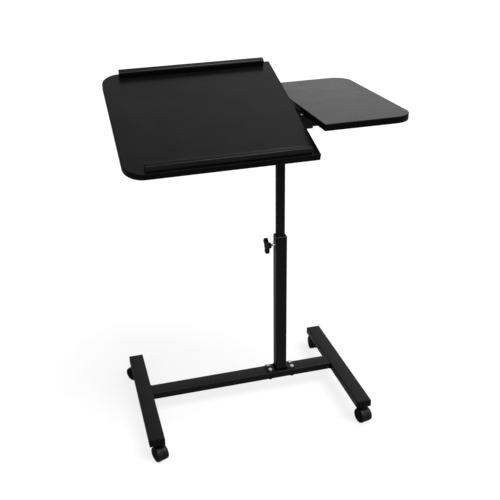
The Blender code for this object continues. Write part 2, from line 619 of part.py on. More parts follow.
# Column head, side arm and the tube that the main board tilts on
def make_head():
    top = arm_top - SHEET - mouth
    bottom = head_bottom - mouth
    inside = head_inner_half
    channel = rounded([
        (head_half, top, SHEET / 3), (inside, top, SHEET / 3),
        (inside, bottom + SHEET, SHEET / 3), (-inside, bottom + SHEET, SHEET / 3),
        (-inside, top, SHEET / 3), (-head_half, top, SHEET / 3),
        (-head_half, bottom, HEAD_CORNER), (head_half, bottom, HEAD_CORNER)])
    head = prism("column_head", [channel], HEAD_LEFT + HEAD_RIGHT, "X", steel_black)
    place(head, ((HEAD_RIGHT - HEAD_LEFT) / 2, 0, 0), height_slide)
    low_top = tilt_height + CHEEK_RISE - mouth
    right_cheek = ARM_START - 2 * SHEET
    notch = block(
        "column_head_notch", (-2 * HEAD_LEFT, -2 * head_half, low_top),
        (ARM_START, 2 * head_half, top + HEAD_HEIGHT))
    place(notch, (0, 0, 0), height_slide)
    combine(head, notch, "DIFFERENCE")
    for name, x in (("left", -HEAD_LEFT), ("right", right_cheek - SHEET)):
        cheek = block(
            f"column_head_{name}_cheek", (x, -inside - SHEET / 2, bottom + SHEET / 2),
            (x + SHEET, inside + SHEET / 2, low_top))
        place(cheek, (0, 0, 0), height_slide)
        combine(head, cheek, "UNION")
    tube_hole = TILT_TUBE_DIAMETER + 2 * FIT_GAP
    start = (-2 * HEAD_LEFT, -TILT_FORWARD, tilt_height - mouth)
    tool = rod("column_head_tube_hole", tube_hole, 0, 2 * HEAD_LEFT + right_cheek + SHEET, FINE_ROUND, steel_black)
    place(tool, start, height_slide, (0, math.pi / 2, 0))
    combine(head, tool, "DIFFERENCE")

    arm_bottom = bottom + ARM_STEP
    crown = arm_top - mouth
    web = arm_half - ARM_SHEET
    arm_outline = rounded([
        (arm_half, crown, 1.5 * ARM_SHEET), (-arm_half, crown, 1.5 * ARM_SHEET),
        (-arm_half, arm_bottom, ARM_SHEET / 3), (-web, arm_bottom, ARM_SHEET / 3),
        (-web, crown - ARM_SHEET, ARM_SHEET / 3), (web, crown - ARM_SHEET, ARM_SHEET / 3),
        (web, arm_bottom, ARM_SHEET / 3), (arm_half, arm_bottom, ARM_SHEET / 3)])
    arm = prism("side_arm", [arm_outline], ARM_LENGTH, "X", steel_black)
    place(arm, (ARM_START + ARM_LENGTH / 2, 0, 0), height_slide)
    bolt_z = crown - ARM_BOLT_DROP
    hole = ARM_BOLT_DIAMETER + 2 * HOLE_CLEARANCE
    for index in (1, 2):
        bolt_x = ARM_START + ARM_BOLT_FIRST + (index - 1) * ARM_BOLT_SPACING
        for piece in (head, arm):
            drill(piece, hole, (bolt_x, -2 * head_half, bolt_z), 4 * head_half, "Y", height_slide)
        head_top = head_half + FIT_GAP + ARM_BOLT_HEAD
        profile = [
            (0, head_top), (ARM_BOLT_HEAD_DIAMETER / 2, head_top),
            (ARM_BOLT_HEAD_DIAMETER / 2, head_half + FIT_GAP), (ARM_BOLT_DIAMETER / 2, head_half + FIT_GAP),
            (ARM_BOLT_DIAMETER / 2, -head_half - SHEET), (0, -head_half - SHEET)]
        bolt = turned(f"side_arm_bolt_{index}", profile, SMALL_ROUND, zinc)
        place(bolt, (bolt_x, 0, bolt_z), height_slide, (math.pi / 2, 0, 0))
    return arm


def make_tilt_tube():
    left = left_saddle_x - SADDLE_LENGTH / 2 - FIT_GAP - TILT_FLANGE
    right = ARM_START - 2 * SHEET
    radius = TILT_TUBE_DIAMETER / 2
    inside = radius - TILT_TUBE_WALL
    length = right - left
    profile = [
        (0, TILT_FLANGE), (inside, TILT_FLANGE), (inside, length), (radius, length),
        (radius, TILT_FLANGE), (TILT_FLANGE_DIAMETER / 2, TILT_FLANGE), (TILT_FLANGE_DIAMETER / 2, 0), (0, 0)]
    tube = turned("tilt_tube", profile, FINE_ROUND, steel_black)
    place(tube, (left, -TILT_FORWARD, tilt_height - mouth), height_slide, (0, math.pi / 2, 0))


# Boards, in the frame of what carries them
def wood_screw(name, x, y, seat, parent):
    """Pan head under the seat height, shank up into the board."""
    top = seat + SCREW_HEAD
    profile = [
        (0, top + SCREW_BITE), (SCREW_DIAMETER / 2, top + SCREW_BITE),
        (SCREW_DIAMETER / 2, seat), (SCREW_HEAD_DIAMETER / 2, seat),
        (SCREW_HEAD_DIAMETER / 2, seat - SCREW_HEAD), (0, seat - SCREW_HEAD)]
    screw = turned(name, profile, SMALL_ROUND, zinc)
    place(screw, (x, y, 0), parent)
    return screw


def make_main_board():
    outer = OUTER_CORNER_RADIUS
    inner = INNER_CORNER_RADIUS
    left = BOARD_OVERHANG - MAIN_WIDTH
    front = TILT_FORWARD - BOARD_DEPTH / 2
    back = TILT_FORWARD + BOARD_DEPTH / 2
    outline = rounded([
        (BOARD_OVERHANG, front, inner), (BOARD_OVERHANG, back, inner),
        (left, back, outer), (left, front, outer)], BOARD_CORNER_STEPS)
    board = prism("main_board", [outline], BOARD_THICKNESS, "Z", board_black)
    bevel(board, BOARD_EDGE, 1)
    place(board, (0, 0, TILT_OFFSET + BOARD_THICKNESS / 2), tilt_axis)

    ledge_length = MAIN_WIDTH - LEDGE_OUTER_INSET - LEDGE_INNER_INSET
    ledge_x = left + LEDGE_OUTER_INSET + ledge_length / 2
    board_top = TILT_OFFSET + BOARD_THICKNESS
    ledge_z = board_top - LEDGE_SEAT + FIT_GAP + LEDGE_HEIGHT / 2
    inset = LEDGE_SETBACK + LEDGE_WIDTH / 2
    across, tall = LEDGE_WIDTH / 2, LEDGE_HEIGHT / 2
    section = rounded([
        (across, tall, LEDGE_EDGE), (-across, tall, LEDGE_EDGE),
        (-across, -tall, FIT_GAP), (across, -tall, FIT_GAP)])
    reach = ledge_length / 2 + FIT_GAP
    for name, y in (("front_ledge", front + inset), ("rear_ledge", back - inset)):
        ledge = prism(name, [section], ledge_length, "X", board_black)
        place(ledge, (ledge_x, y, ledge_z), tilt_axis)
        seat = block(
            f"{name}_seat", (-reach, -across - FIT_GAP, -LEDGE_SEAT), (reach, across + FIT_GAP, LEDGE_SEAT))
        place(seat, (ledge_x, y, board_top), tilt_axis)
        combine(board, seat, "DIFFERENCE")
    make_saddles(board)


def make_saddles(board):
    top = TILT_OFFSET - FIT_GAP
    bore = TILT_TUBE_DIAMETER / 2 + FIT_GAP
    half = bore + SADDLE_WALL
    ear = half + SADDLE_EAR
    under = top - SADDLE_FLANGE
    ease = SADDLE_FLANGE / 4
    belly = half - FIT_GAP
    outline = rounded([
        (ear, top, ease), (-ear, top, ease), (-ear, under, ease), (-half, under, SADDLE_FILLET),
        (-half, -half, belly), (half, -half, belly), (half, under, SADDLE_FILLET), (ear, under, ease)])
    screw_number = 0
    for name, x in (("right_saddle", -RIGHT_SADDLE_FROM_COLUMN), ("left_saddle", left_saddle_x)):
        saddle = prism(name, [outline, circle(bore, FINE_ROUND)], SADDLE_LENGTH, "X", plastic_black)
        place(saddle, (x, 0, 0), tilt_axis)
        for y in (-half - SADDLE_EAR / 2, half + SADDLE_EAR / 2):
            screw_number += 1
            seat = under - FIT_GAP
            wood_screw(f"saddle_screw_{screw_number}", x, y, seat, tilt_axis)
            hole = SCREW_DIAMETER + 2 * HOLE_CLEARANCE
            depth = SCREW_HEAD + SCREW_BITE + 2 * FIT_GAP
            for piece in (saddle, board):
                drill(piece, hole, (x, y, seat), depth, "Z", tilt_axis)


def make_side_board(arm):
    outer = OUTER_CORNER_RADIUS
    inner = INNER_CORNER_RADIUS
    front, back = -BOARD_DEPTH / 2, BOARD_DEPTH / 2
    outline = rounded([
        (right_end, front, outer), (right_end, back, outer),
        (side_board_start, back, inner), (side_board_start, front, inner)], BOARD_CORNER_STEPS)
    board = prism("side_board", [outline], BOARD_THICKNESS, "Z", board_black)
    bevel(board, BOARD_EDGE, 1)
    place(board, (0, 0, board_underside + BOARD_THICKNESS / 2 - mouth), height_slide)
    seat = arm_top - ARM_SHEET - FIT_GAP - mouth
    for index in (1, 2):
        x = ARM_START + SIDE_SCREW_FIRST + (index - 1) * SIDE_SCREW_SPACING
        wood_screw(f"side_board_screw_{index}", x, 0, seat, height_slide)
        hole = SCREW_DIAMETER + 2 * HOLE_CLEARANCE
        depth = SCREW_HEAD + SCREW_BITE + 2 * FIT_GAP
        for piece in (arm, board):
            drill(piece, hole, (x, 0, seat), depth, "Z", height_slide)


make_base()
make_column()
make_column_fixings()
make_clamp()
side_arm = make_head()
make_tilt_tube()
make_main_board()
make_side_board(side_arm)
bpy.context.view_layer.update()
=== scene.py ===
import json
import math

import bmesh
import bpy
from mathutils import Matrix, Vector


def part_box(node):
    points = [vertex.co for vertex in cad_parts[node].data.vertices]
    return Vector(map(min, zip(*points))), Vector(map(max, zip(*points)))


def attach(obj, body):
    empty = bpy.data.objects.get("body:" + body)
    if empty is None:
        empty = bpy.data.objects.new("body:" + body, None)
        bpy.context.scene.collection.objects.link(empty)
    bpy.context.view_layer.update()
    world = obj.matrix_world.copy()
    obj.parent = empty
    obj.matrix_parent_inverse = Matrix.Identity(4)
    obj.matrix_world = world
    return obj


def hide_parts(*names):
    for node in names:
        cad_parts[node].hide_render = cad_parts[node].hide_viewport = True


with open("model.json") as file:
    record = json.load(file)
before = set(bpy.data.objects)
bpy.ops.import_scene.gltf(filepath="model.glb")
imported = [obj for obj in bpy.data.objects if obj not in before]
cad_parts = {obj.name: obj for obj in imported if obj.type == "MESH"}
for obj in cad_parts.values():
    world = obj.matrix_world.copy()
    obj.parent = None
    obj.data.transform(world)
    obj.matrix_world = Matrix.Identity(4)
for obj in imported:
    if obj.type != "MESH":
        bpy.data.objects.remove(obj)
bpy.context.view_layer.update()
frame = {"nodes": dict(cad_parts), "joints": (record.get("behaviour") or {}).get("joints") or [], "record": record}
jointAt = {joint["name"]: Vector(joint["pos_m"]) for joint in frame["joints"]}
columnX, columnY, mouthZ = jointAt["height_slide"]
print("frame loaded:", len(frame["nodes"]), "nodes")


def newFinish(name):
    material = bpy.data.materials.new(name)
    material.use_nodes = True
    tree = material.node_tree
    coords = tree.nodes.new("ShaderNodeTexCoord")
    return material, tree, tree.nodes["Principled BSDF"], coords.outputs["Object"]


def addNoise(tree, vector, scale, detail=3.0, rough=0.55):
    noise = tree.nodes.new("ShaderNodeTexNoise")
    noise.inputs["Scale"].default_value = scale
    noise.inputs["Detail"].default_value = detail
    noise.inputs["Roughness"].default_value = rough
    tree.links.new(vector, noise.inputs["Vector"])
    return noise.outputs["Fac"]


def addRange(tree, value, low, high, toLow, toHigh):
    remap = tree.nodes.new("ShaderNodeMapRange")
    limits = {"From Min": low, "From Max": high, "To Min": toLow, "To Max": toHigh}
    for socket, number in limits.items():
        remap.inputs[socket].default_value = number
    tree.links.new(value, remap.inputs["Value"])
    return remap.outputs["Result"]


def addMath(tree, kind, first, second):
    node = tree.nodes.new("ShaderNodeMath")
    node.operation = kind
    for socket, value in zip(node.inputs, (first, second)):
        if isinstance(value, (int, float)):
            socket.default_value = value
        else:
            tree.links.new(value, socket)
    return node.outputs["Value"]


def addMix(tree, factor, first, second):
    mix = tree.nodes.new("ShaderNodeMix")
    mix.data_type = "RGBA"
    tree.links.new(factor, mix.inputs["Factor"])
    # the colour sockets of a mix node come after its number and vector ones
    for socket, colour in ((mix.inputs[6], first), (mix.inputs[7], second)):
        if isinstance(colour, tuple):
            socket.default_value = (*colour, 1)
        else:
            tree.links.new(colour, socket)
    return mix.outputs[2]


def addBump(tree, shader, height, strength, distance):
    bump = tree.nodes.new("ShaderNodeBump")
    bump.inputs["Strength"].default_value = strength
    bump.inputs["Distance"].default_value = distance
    tree.links.new(height, bump.inputs["Height"])
    tree.links.new(bump.outputs["Normal"], shader.inputs["Normal"])


def addWear(tree, vector, scale):
    # worn only along a piece's own eased edges, broken up by noise
    mark = tree.nodes.new("ShaderNodeAttribute")
    mark.attribute_name = "wear"
    patches = addRange(tree, addNoise(tree, vector, scale, 4), 0.45, 0.65, 0.0, 1.0)
    return addMath(tree, "MULTIPLY", mark.outputs["Fac"], patches)


# dark and light are the two ends of a faint unevenness, worn is where edges are rubbed
blackFinishes = {
    "melamineBlack": {"dark": 0.0024, "light": 0.0050, "worn": 0.008, "rough": (0.22, 0.29),
                      "grain": 1500, "fine": 3800, "bump": 0.05, "specular": 0.26, "smudge": 24},
    "edgingBlack": {"dark": 0.0018, "light": 0.0028, "worn": 0.007, "rough": (0.28, 0.36),
                    "grain": 700, "fine": 2600, "bump": 0.02, "specular": 0.07, "smudge": 60},
    "ledgeBlack": {"dark": 0.0016, "light": 0.0022, "worn": 0.006, "rough": (0.28, 0.34),
                   "grain": 900, "fine": 2800, "bump": 0.02, "specular": 0.27, "smudge": 60},
    "powderBlack": {"dark": 0.0022, "light": 0.0034, "worn": 0.005, "rough": (0.28, 0.36),
                    "grain": 820, "fine": 2400, "bump": 0.03, "specular": 0.22, "smudge": 50},
    "slideBlack": {"dark": 0.0115, "light": 0.0150, "worn": 0.019, "rough": (0.42, 0.52),
                   "grain": 1000, "fine": 2600, "bump": 0.04, "specular": 0.02, "smudge": 90},
    "dullBlack": {"dark": 0.0018, "light": 0.0026, "worn": 0.005, "rough": (0.30, 0.42),
                  "grain": 900, "fine": 2600, "bump": 0.05, "specular": 0.06, "smudge": 90},
    # near-black weld at the column's foot: painted shade in the crease there
    "weldBlack": {"dark": 0.0004, "light": 0.0007, "worn": 0.001, "rough": (0.45, 0.60),
                  "grain": 900, "fine": 2600, "bump": 0.10, "specular": 0.01, "smudge": 200},
    # dark finish for the bolt threads and nuts below the beam: painted shade under the beam
    "nutBlack": {"dark": 0.010, "light": 0.017, "worn": 0.030, "rough": (0.34, 0.46),
                 "grain": 1200, "fine": 3000, "bump": 0.05, "specular": 0.40, "smudge": 300},
    # pale rim of the column's mouth: partly rubbed steel, partly a painted highlight
    "rimRubbedAndHighlight": {"dark": 0.16, "light": 0.22, "worn": 0.26, "rough": (0.32, 0.42),
                "grain": 1200, "fine": 3000, "bump": 0.04, "specular": 0.30, "smudge": 200},
    "plasticBlack": {"dark": 0.0024, "light": 0.0036, "worn": 0.008, "rough": (0.27, 0.35),
                     "grain": 1300, "fine": 3600, "bump": 0.05, "specular": 0.16, "smudge": 120},
    "capBlack": {"dark": 0.0018, "light": 0.0026, "worn": 0.004, "rough": (0.36, 0.46),
                 "grain": 1100, "fine": 3000, "bump": 0.05, "specular": 0.10, "smudge": 120},
    "hoodBlack": {"dark": 0.0014, "light": 0.0022, "worn": 0.004, "rough": (0.36, 0.46),
                  "grain": 1100, "fine": 3000, "bump": 0.05, "specular": 0.05, "smudge": 120},
    "wheelBlack": {"dark": 0.0032, "light": 0.0050, "worn": 0.008, "rough": (0.34, 0.44),
                   "grain": 600, "fine": 2200, "bump": 0.03, "specular": 0.17, "smudge": 160},
}
blackGrain = {"cloud": 11, "wear": 260, "fineShare": 0.4, "depth": 0.0002, "blue": 1.03}


def grey(value):
    return value, value, value * blackGrain["blue"]


def blackMaterial(name):
    spec = blackFinishes[name]
    material, tree, shader, vector = newFinish(name)
    cloud = addRange(tree, addNoise(tree, vector, blackGrain["cloud"], 4), 0.35, 0.65, 0, 1)
    body = addMix(tree, cloud, grey(spec["dark"]), grey(spec["light"]))
    colour = addMix(tree, addWear(tree, vector, blackGrain["wear"]), body, grey(spec["worn"]))
    tree.links.new(colour, shader.inputs["Base Color"])
    smudge = addNoise(tree, vector, spec["smudge"], 5, 0.6)
    tree.links.new(addRange(tree, smudge, 0.3, 0.7, *spec["rough"]), shader.inputs["Roughness"])
    shader.inputs["Specular IOR Level"].default_value = spec["specular"]
    # the wide grain of the finish with a finer one on it
    wide = addNoise(tree, vector, spec["grain"], 2)
    fine = addMath(tree, "MULTIPLY", addNoise(tree, vector, spec["fine"], 1), blackGrain["fineShare"])
    addBump(tree, shader, addMath(tree, "ADD", wide, fine), spec["bump"], blackGrain["depth"])
    return material


zinc = {"dull": (0.80, 0.81, 0.82), "bright": (0.92, 0.92, 0.90), "rubbed": (0.95, 0.95, 0.94),
        "rough": (0.30, 0.44), "cloud": 420, "wear": 900, "grain": 2600, "bump": 0.08, "depth": 0.0001}


def zincMaterial():
    material, tree, shader, vector = newFinish("zincBright")
    cloud = addRange(tree, addNoise(tree, vector, zinc["cloud"], 4), 0.35, 0.68, 0, 1)
    body = addMix(tree, cloud, zinc["dull"], zinc["bright"])
    colour = addMix(tree, addWear(tree, vector, zinc["wear"]), body, zinc["rubbed"])
    tree.links.new(colour, shader.inputs["Base Color"])
    shader.inputs["Metallic"].default_value = 1.0
    dulled = addRange(tree, addNoise(tree, vector, zinc["wear"], 3), 0.3, 0.7, *zinc["rough"])
    tree.links.new(dulled, shader.inputs["Roughness"])
    addBump(tree, shader, addNoise(tree, vector, zinc["grain"], 2), zinc["bump"], zinc["depth"])
    return material


finishes = {name: blackMaterial(name) for name in blackFinishes}
finishes["zincBright"] = zincMaterial()
nodeFinish = {"board_black": "melamineBlack", "steel_black": "powderBlack", "plastic_black": "plasticBlack",
              "wheel_black": "wheelBlack", "zinc": "zincBright"}
for part in frame["record"]["subparts"]:
    data = frame["nodes"][part["node"]].data
    data.materials.clear()
    data.materials.append(finishes[nodeFinish[part["material_slot"]]])
frame["nodes"]["guide_bush"].data.materials[0] = finishes["dullBlack"]
print("finishes made:", len(finishes))


# vertices nearer than this are merged into one
mergeReach = {"piece": 1e-7, "spin": 1e-6, "thread": 2e-6}
onPlane = 1e-5
# least cosine for lines that run the same way, and for faces that look the same way
parallel, facing = 0.999, 0.99


def startEmpty():
    bm = bmesh.new()
    bm.verts.layers.float.new("wear")
    return bm


def addBlock(bm, low, high):
    low, high = Vector(low), Vector(high)
    verts = bmesh.ops.create_cube(bm, size=1)["verts"]
    bmesh.ops.scale(bm, vec=high - low, verts=verts)
    bmesh.ops.translate(bm, vec=(low + high) / 2, verts=verts)
    return verts


def startBlock(low, high):
    bm = startEmpty()
    addBlock(bm, low, high)
    return bm


def anywhere(middle):
    return True


def edgesAlong(bm, axis, test=anywhere):
    found = []
    for edge in bm.edges:
        start, end = (vert.co for vert in edge.verts)
        run = (end - start).normalized()
        if abs(run[axis]) > parallel and test((start + end) / 2):
            found.append(edge)
    return found


def sharpEdges(bm, degrees=50, test=anywhere):
    limit = math.radians(degrees)
    found = []
    for edge in bm.edges:
        middle = (edge.verts[0].co + edge.verts[1].co) / 2
        if len(edge.link_faces) == 2 and edge.calc_face_angle(0) > limit and test(middle):
            found.append(edge)
    return found


def roundEdges(bm, edges, width, segments, mark=1.0):
    if not edges:
        return
    made = bmesh.ops.bevel(
        bm, geom=edges, offset=width, offset_type="OFFSET", segments=segments,
        profile=0.5, affect="EDGES", material=-1, clamp_overlap=True)
    wear = bm.verts.layers.float["wear"]
    faces = set(made["faces"])
    for vert in made["verts"]:
        if all(face in faces for face in vert.link_faces):
            vert[wear] = mark


def lathe(bm, profile, steps, centre=(0, 0, 0), axis=(0, 0, 1)):
    # a line of (radius, along) points spun about the axis
    axis, centre = Vector(axis).normalized(), Vector(centre)
    side = axis.orthogonal().normalized()
    before = set(bm.verts)
    verts = [bm.verts.new(centre + side * radius + axis * along) for radius, along in profile]
    edges = [bm.edges.new(pair) for pair in zip(verts, verts[1:])]
    bmesh.ops.spin(
        bm, geom=verts + edges, cent=centre, axis=axis, dvec=(0, 0, 0), angle=2 * math.pi,
        steps=steps, use_merge=True, use_duplicate=False)
    made = [vert for vert in bm.verts if vert not in before]
    bmesh.ops.remove_doubles(bm, verts=made, dist=mergeReach["spin"])


def softProfile(points, radius, steps=3):
    # rounds each inner corner of a profile with a short arc
    out = [points[0]]
    for before, here, after in zip(points, points[1:], points[2:]):
        before, here, after = Vector(before), Vector(here), Vector(after)
        reach = min(radius, (before - here).length * 0.45, (after - here).length * 0.45)
        start = here + (before - here).normalized() * reach
        end = here + (after - here).normalized() * reach
        for step in range(steps + 1):
            share = step / steps
            arc = start * (1 - share) ** 2 + here * 2 * share * (1 - share) + end * share ** 2
            out.append(tuple(arc))
    return out + [points[-1]]


def addThread(bm, spec, low, high, centre=(0, 0, 0), axis=(0, 0, 1)):
    # one zigzag line of teeth, spun once while it climbs one pitch
    axis, centre = Vector(axis).normalized(), Vector(centre)
    side = axis.orthogonal().normalized()
    before = set(bm.verts)
    turns = max(1, int(round((high - low) / spec["pitch"])) - 1)
    rise, fall = spec["crest"]
    teeth = [(turn + share, tooth) for turn in range(turns)
             for share, tooth in ((0.0, spec["tooth"]), (rise, 0.0), (fall, 0.0))]
    teeth.append((turns, spec["tooth"]))
    verts = []
    for along, tooth in teeth:
        climb = axis * (low + along * spec["pitch"])
        verts.append(bm.verts.new(centre + side * (spec["radius"] - tooth) + climb))
    edges = [bm.edges.new(pair) for pair in zip(verts, verts[1:])]
    bmesh.ops.spin(
        bm, geom=verts + edges, cent=centre, axis=axis, dvec=axis * (spec["pitch"] / spec["steps"]),
        angle=2 * math.pi, steps=spec["steps"], use_merge=False, use_duplicate=False)
    made = [vert for vert in bm.verts if vert not in before]
    bmesh.ops.remove_doubles(bm, verts=made, dist=mergeReach["thread"])
    bmesh.ops.holes_fill(bm, edges=[edge for edge in bm.edges if edge.is_boundary], sides=0)


def addHex(bm, across, low, high, centre, axis=(0, 0, 1), ease=0.0005):
    corner = across / math.sqrt(3)
    made = bmesh.ops.create_cone(
        bm, cap_ends=True, segments=6, radius1=corner, radius2=corner, depth=high - low)["verts"]
    turn = Vector((0, 0, 1)).rotation_difference(Vector(axis)).to_matrix().to_4x4()
    move = Matrix.Translation(Vector(centre) + Vector(axis) * (low + high) / 2)
    bmesh.ops.transform(bm, matrix=move @ turn, verts=made)
    roundEdges(bm, list({edge for vert in made for edge in vert.link_edges}), ease, 2)


def cutBore(bm, faces, radius, centre, axis, segments=28):
    # a round hole from one face to the face opposite
    axis, centre = Vector(axis), Vector(centre)
    turn = Vector((0, 0, 1)).rotation_difference(axis).to_matrix().to_4x4()
    rings = []
    for face in faces:
        level = (face.calc_center_median() - centre).dot(axis)
        border = list(face.edges)
        bmesh.ops.delete(bm, geom=[face], context="FACES_ONLY")
        made = bmesh.ops.create_circle(
            bm, cap_ends=False, segments=segments, radius=radius,
            matrix=Matrix.Translation(centre + axis * level) @ turn)["verts"]
        ring = list({edge for vert in made for edge in vert.link_edges})
        bmesh.ops.triangle_fill(bm, use_beauty=True, edges=border + ring, normal=axis)
        rings += ring
    bmesh.ops.bridge_loops(bm, edges=rings)


def addNut(bm, spec, low, high, centre, axis=(0, 0, 1)):
    addHex(bm, spec["across"], low, high, centre, axis, spec["ease"])
    ends = [face for face in bm.faces if abs(face.normal.dot(Vector(axis))) > parallel]
    cutBore(bm, ends, spec["bore"], centre, axis)


def finishPiece(bm, name, body, finish, nodes=(), place=None, sharp=32):
    finishList = [finish] if isinstance(finish, str) else finish
    bmesh.ops.remove_doubles(bm, verts=bm.verts, dist=mergeReach["piece"])
    bmesh.ops.recalc_face_normals(bm, faces=bm.faces)
    if place is not None:
        bmesh.ops.transform(bm, matrix=place, verts=bm.verts)
    mesh = bpy.data.meshes.new(name)
    bm.to_mesh(mesh)
    bm.free()
    mesh.shade_smooth()
    mesh.set_sharp_from_angle(angle=math.radians(sharp))
    for each in finishList:
        mesh.materials.append(finishes[each])
    piece = bpy.data.objects.new(name, mesh)
    bpy.context.scene.collection.objects.link(piece)
    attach(piece, body)
    if nodes:
        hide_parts(*nodes)


def copyNode(node):
    # a solid's own shape, merged from its loose triangles
    bm = bmesh.new()
    bm.from_mesh(frame["nodes"][node].data)
    bm.verts.layers.float.new("wear")
    bmesh.ops.remove_doubles(bm, verts=bm.verts, dist=mergeReach["spin"])
    bmesh.ops.dissolve_limit(bm, angle_limit=math.radians(0.8), verts=bm.verts, edges=bm.edges)
    return bm


def refineNode(node, name, body, finish, width, segments=2, degrees=40):
    bm = copyNode(node)
    roundEdges(bm, sharpEdges(bm, degrees), width, segments)
    finishPiece(bm, name, body, finish, [node])


# the main board's own frame: its tilt axis, as photographed
restTilt = 18.5
tiltPlace = Matrix.Translation(jointAt["main_board_tilt"]) @ Matrix.Rotation(math.radians(restTilt), 4, "X")
columnPlace = Matrix.Translation((columnX, columnY, 0))

board = {"outerRadius": 0.045, "innerRadius": 0.002, "ease": 0.0008, "edging": 0.0007, "seam": 0.00018,
         "leastFace": 0.02}
mainBoard = {"low": (-0.404, -0.1965, 0.030), "high": (0.026, 0.2085, 0.045), "outerSide": -1,
             "body": "main_top", "node": "main_board", "place": tiltPlace}
sideBoard = {"low": (0.034, -0.2025, 0.8113), "high": (0.246, 0.2025, 0.8263), "outerSide": 1,
             "body": "upper", "node": "side_board", "place": columnPlace}


def makeBoard(name, spec):
    bm = startBlock(spec["low"], spec["high"])
    middle = (spec["low"][0] + spec["high"][0]) / 2
    inner = edgesAlong(bm, 2, lambda m: (m.x - middle) * spec["outerSide"] < 0)
    roundEdges(bm, inner, board["innerRadius"], 3, 0)
    outer = edgesAlong(bm, 2, lambda m: (m.x - middle) * spec["outerSide"] > 0)
    roundEdges(bm, outer, board["outerRadius"], 20, 0)
    roundEdges(bm, sharpEdges(bm, 60), board["ease"], 3)
    for face in bm.faces:
        face.material_index = 1
    # the laminated faces end at the edging strip in a hair-thin seam
    flat = [face for face in bm.faces
            if face.calc_area() > board["leastFace"] and abs(face.normal.z) > facing]
    seam = board["seam"]
    for width, depth in ((board["edging"], 0), (seam, -seam), (seam, seam)):
        bmesh.ops.inset_individual(bm, faces=flat, thickness=width, depth=depth)
    for face in flat:
        face.material_index = 0
    finishPiece(bm, name, spec["body"], ["melamineBlack", "edgingBlack"], [spec["node"]], spec["place"])


ledge = {"x": (-0.359, 0.006), "width": 0.016, "height": 0.0165, "setback": 0.005, "sunk": 0.0002,
         "top": 0.0022, "innerTop": 0.0050, "ease": 0.0004}


def makeLedge(node, name, yLow, inward):
    # the top edge towards the middle of the board is rounded more than the outer one
    low, middle = mainBoard["high"][2] - ledge["sunk"], yLow + ledge["width"] / 2
    bm = startBlock((ledge["x"][0], yLow, low), (ledge["x"][1], yLow + ledge["width"], low + ledge["height"]))
    for side, radius in ((-inward, ledge["top"]), (inward, ledge["innerTop"])):
        upper = edgesAlong(bm, 0, lambda m: m.z > low + ledge["top"] and (m.y - middle) * side > 0)
        roundEdges(bm, upper, radius, 6)
    roundEdges(bm, sharpEdges(bm, 60), ledge["ease"], 3)
    finishPiece(bm, name, "main_top", "ledgeBlack", [node], tiltPlace)


makeBoard("mainBoardFaced", mainBoard)
makeBoard("sideBoardFaced", sideBoard)
makeLedge("front_ledge", "frontLedgeStrip", mainBoard["low"][1] + ledge["setback"], 1)
makeLedge("rear_ledge", "rearLedgeStrip", mainBoard["high"][1] - ledge["setback"] - ledge["width"], -1)
print("boards and ledges made")

tube = {"round": 0.0021, "wall": 0.0015, "segments": 6, "rim": 0.0005}


def openTube(low, high, along, radius):
    # a rounded block, opened at both ends and given its wall
    bm = startBlock(low, high)
    roundEdges(bm, edgesAlong(bm, along), radius, tube["segments"])
    caps = [face for face in bm.faces if abs(face.normal[along]) > facing]
    bmesh.ops.delete(bm, geom=caps, context="FACES_ONLY")
    bmesh.ops.recalc_face_normals(bm, faces=bm.faces)
    bmesh.ops.solidify(bm, geom=bm.faces[:], thickness=tube["wall"])
    return bm


def makeTube(node, name, body, along, finish="powderBlack"):
    low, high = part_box(node)
    finishPiece(openTube(low, high, along, tube["round"]), name, body, finish, [node])


makeTube("left_leg", "leftLegTube", "base", 1)
makeTube("right_leg", "rightLegTube", "base", 1)
makeTube("cross_beam", "crossBeamTube", "base", 0)
makeTube("inner_column", "innerColumnTube", "upper", 2, "slideBlack")

outerColumn = {"half": 0.015, "round": 0.004, "foot": (0.079, 0.037), "footLow": 0.0703, "footHigh": 0.0733,
               "footCorner": 0.003, "footEase": 0.0004, "sunk": 0.001, "patch": 0.006, "screwHole": 0.0033}


def makeOuterTube():
    half, start = outerColumn["half"], outerColumn["footHigh"] - outerColumn["sunk"]
    bm = openTube((-half, -half, start), (half, half, mouthZ), 2, outerColumn["round"])
    roundEdges(bm, sharpEdges(bm, 60, lambda m: m.z > mouthZ - tube["rim"]), tube["rim"], 2)
    # the cut rim of the mouth is coloured paler than the faces: partly rubbed bare steel, partly a painted
    # highlight along the rim
    for face in bm.faces:
        if face.calc_center_median().z > mouthZ - tube["rim"] * 1.5:
            face.material_index = 1
    # square patches of the left wall, cut out for the clamp screw's hole
    clampZ, reach = jointAt["clamp_turn"].z, outerColumn["patch"]
    for at, way in (((0, reach, 0), (0, 1, 0)), ((0, -reach, 0), (0, 1, 0)),
                    ((0, 0, clampZ + reach), (0, 0, 1)), ((0, 0, clampZ - reach), (0, 0, 1))):
        wall = [face for face in bm.faces if abs(face.normal.x) > facing and face.calc_center_median().x < 0]
        edges = {edge for face in wall for edge in face.edges}
        verts = {vert for face in wall for vert in face.verts}
        bmesh.ops.bisect_plane(
            bm, geom=[*verts, *edges, *wall], dist=mergeReach["piece"], plane_co=at, plane_no=way)
    middle = Vector((-half, 0, clampZ))
    patch = [face for face in bm.faces if (face.calc_center_median() - middle).length < tube["wall"] * 1.1]
    cutBore(bm, patch, outerColumn["screwHole"], middle, (1, 0, 0))
    finishPiece(bm, "outerColumnTube", "base", ["powderBlack", "rimRubbedAndHighlight"], ["outer_column"], columnPlace)


